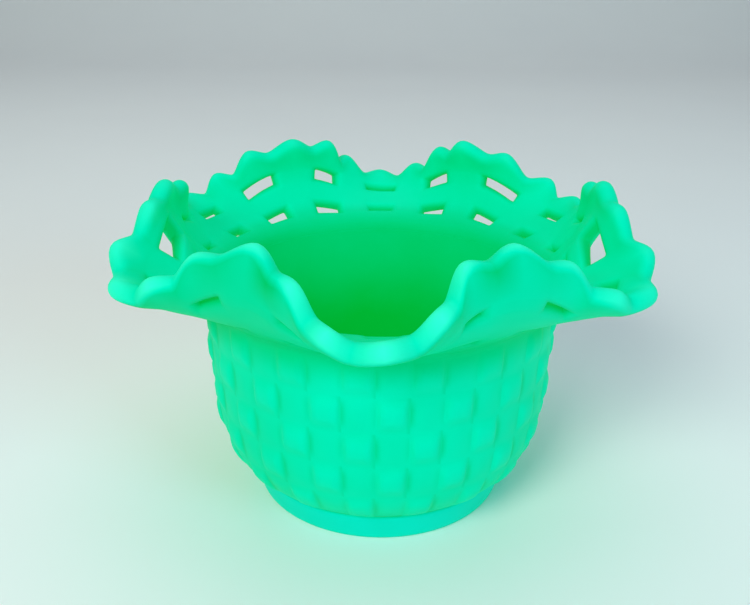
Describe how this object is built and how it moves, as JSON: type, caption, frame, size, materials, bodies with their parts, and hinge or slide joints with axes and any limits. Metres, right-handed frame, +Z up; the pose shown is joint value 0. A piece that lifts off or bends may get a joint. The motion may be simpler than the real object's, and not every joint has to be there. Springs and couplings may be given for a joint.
{
  "type": "ruffled open-edge glass bowl",
  "caption": "Satin uranium glass bowl with a basket-weave body on a low round foot and a flared open-lattice collar crimped into a scalloped ruffle.",
  "frame": {"origin": "centre of the underside of the foot, on the bowl's axis", "axes": "+Z up along the bowl's axis; -Y to the front, through the middle of a low wave of the ruffle; +X to the right"},
  "size_m": [0.1412, 0.1566, 0.0974],
  "materials": {
    "satin_glass": "acid-satin"
  },
  "bodies": {
    "root": {"foot_ring": "satin_glass", "bowl_floor": "satin_glass", "bowl_wall": "satin_glass", "weave_row_1": "satin_glass", "weave_row_2": "satin_glass", "weave_row_3": "satin_glass", "weave_row_4": "satin_glass", "weave_row_5": "satin_glass", "collar_band": "satin_glass", "lower_posts": "satin_glass", "middle_rail": "satin_glass", "upper_posts": "satin_glass", "edge_rail": "satin_glass", "edge_points": "satin_glass"}
  },
  "joints": []
}
